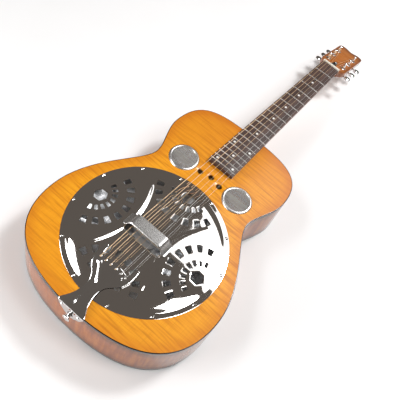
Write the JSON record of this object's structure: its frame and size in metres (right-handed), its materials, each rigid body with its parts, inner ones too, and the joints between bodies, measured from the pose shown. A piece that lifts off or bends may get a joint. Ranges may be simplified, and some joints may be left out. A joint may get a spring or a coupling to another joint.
{
  "type": "resonator guitar",
  "caption": "Round-neck resonator guitar: maple body, fan-pierced cover plate over a spun cone and spider bridge, screened sound holes, geared tuners.",
  "frame": {"origin": "middle of the guitar's bounding box, on the underside of the flat back", "axes": "+Y towards the headstock, +X towards the treble side, +Z out of the top, as it lies on its back"},
  "size_m": [0.36, 0.9712, 0.1154],
  "materials": {
    "maple_top": "flamed maple veneer, amber sunburst under gloss lacquer",
    "maple_body": "dark amber maple under gloss lacquer",
    "maple_neck": "amber maple under gloss lacquer",
    "binding": "gloss black",
    "inner_wood": "raw sanded wood",
    "spun_aluminium": "spun, satin",
    "cast_aluminium": "as cast",
    "saddle_maple": "raw hard maple",
    "steel": "bright",
    "chrome": "polished chrome plate",
    "screen": "woven wire screen",
    "rosewood": "oiled, open grain",
    "fret_wire": "polished nickel silver",
    "pearl": "pearl inlay",
    "bone": "polished bone white",
    "brass": "turned",
    "black_plastic": "gloss black",
    "plain_string": "plain steel wire",
    "wound_string": "phosphor bronze winding"
  },
  "bodies": {
    "root": {"top_plate": "maple_top", "back_plate": "maple_body", "rim": "maple_body", "top_binding": "binding", "back_binding": "binding", "linings": "inner_wood", "neck_block": "inner_wood", "tail_block": "inner_wood", "soundwell": "inner_wood", "back_braces": "inner_wood", "cone": "spun_aluminium", "spider_bridge": "cast_aluminium", "saddle_inserts": "saddle_maple", "tension_screw": "steel", "coverplate": "chrome", "hand_rest": "chrome", "coverplate_screws": "chrome", "bass_bezel": "chrome", "treble_bezel": "chrome", "bass_screen": "screen", "treble_screen": "screen", "neck": "maple_neck", "headstock": "maple_neck", "fretboard": "rosewood", "frets": "fret_wire", "fret_markers": "pearl", "side_dots": "pearl", "nut": "bone", "truss_rod": "steel", "truss_rod_cover": "black_plastic", "truss_cover_screws": "chrome", "tailpiece": "chrome", "tailpiece_screws": "chrome", "strap_button": "chrome", "tuner_plates": "chrome", "tuner_bushings": "chrome", "tuner_screws": "chrome", "string_1": "plain_string", "string_2": "plain_string", "string_3": "wound_string", "string_4": "wound_string", "string_5": "wound_string", "string_6": "wound_string"},
    "tuner_key_1": {"tuner_key_1": "chrome"},
    "string_post_1": {"string_post_1": "chrome"},
    "tuner_key_2": {"tuner_key_2": "chrome"},
    "string_post_2": {"string_post_2": "chrome"},
    "tuner_key_3": {"tuner_key_3": "chrome"},
    "string_post_3": {"string_post_3": "chrome"},
    "tuner_key_4": {"tuner_key_4": "chrome"},
    "string_post_4": {"string_post_4": "chrome"},
    "tuner_key_5": {"tuner_key_5": "chrome"},
    "string_post_5": {"string_post_5": "chrome"},
    "tuner_key_6": {"tuner_key_6": "chrome"},
    "string_post_6": {"string_post_6": "chrome"},
    "truss_rod_nut": {"truss_rod_nut": "brass"}
  },
  "joints": [
    {"name": "key_1_turn", "type": "hinge", "parent": "root", "child": "tuner_key_1", "pos_m": [0.021, 0.37296, 0.05455], "axis": [1, 0, 0], "continuous": true},
    {"name": "post_1_turn", "type": "hinge", "parent": "root", "child": "string_post_1", "pos_m": [0.021, 0.3694, 0.07454], "axis": [0, 0.279, 0.9603], "continuous": true},
    {"name": "key_2_turn", "type": "hinge", "parent": "root", "child": "tuner_key_2", "pos_m": [0.021, 0.40657, 0.04478], "axis": [1, 0, 0], "continuous": true},
    {"name": "post_2_turn", "type": "hinge", "parent": "root", "child": "string_post_2", "pos_m": [0.021, 0.40301, 0.06477], "axis": [0, 0.279, 0.9603], "continuous": true},
    {"name": "key_3_turn", "type": "hinge", "parent": "root", "child": "tuner_key_3", "pos_m": [0.021, 0.44018, 0.03502], "axis": [1, 0, 0], "continuous": true},
    {"name": "post_3_turn", "type": "hinge", "parent": "root", "child": "string_post_3", "pos_m": [0.021, 0.43662, 0.05501], "axis": [0, 0.279, 0.9603], "continuous": true},
    {"name": "key_4_turn", "type": "hinge", "parent": "root", "child": "tuner_key_4", "pos_m": [-0.021, 0.44018, 0.03502], "axis": [1, 0, 0], "continuous": true},
    {"name": "post_4_turn", "type": "hinge", "parent": "root", "child": "string_post_4", "pos_m": [-0.021, 0.43662, 0.05501], "axis": [0, 0.279, 0.9603], "continuous": true},
    {"name": "key_5_turn", "type": "hinge", "parent": "root", "child": "tuner_key_5", "pos_m": [-0.021, 0.40657, 0.04478], "axis": [1, 0, 0], "continuous": true},
    {"name": "post_5_turn", "type": "hinge", "parent": "root", "child": "string_post_5", "pos_m": [-0.021, 0.40301, 0.06477], "axis": [0, 0.279, 0.9603], "continuous": true},
    {"name": "key_6_turn", "type": "hinge", "parent": "root", "child": "tuner_key_6", "pos_m": [-0.021, 0.37296, 0.05455], "axis": [1, 0, 0], "continuous": true},
    {"name": "post_6_turn", "type": "hinge", "parent": "root", "child": "string_post_6", "pos_m": [-0.021, 0.3694, 0.07454], "axis": [0, 0.279, 0.9603], "continuous": true},
    {"name": "truss_nut_turn", "type": "hinge", "parent": "root", "child": "truss_rod_nut", "pos_m": [0, 0.34506, 0.07659], "axis": [0, 0.9998, -0.0209], "range_deg": [-180, 180]}
  ],
  "couplings": [
    {"joint": "post_1_turn", "follows": "key_1_turn", "ratio": 0.071429},
    {"joint": "post_2_turn", "follows": "key_2_turn", "ratio": 0.071429},
    {"joint": "post_3_turn", "follows": "key_3_turn", "ratio": 0.071429},
    {"joint": "post_4_turn", "follows": "key_4_turn", "ratio": -0.071429},
    {"joint": "post_5_turn", "follows": "key_5_turn", "ratio": -0.071429},
    {"joint": "post_6_turn", "follows": "key_6_turn", "ratio": -0.071429}
  ]
}
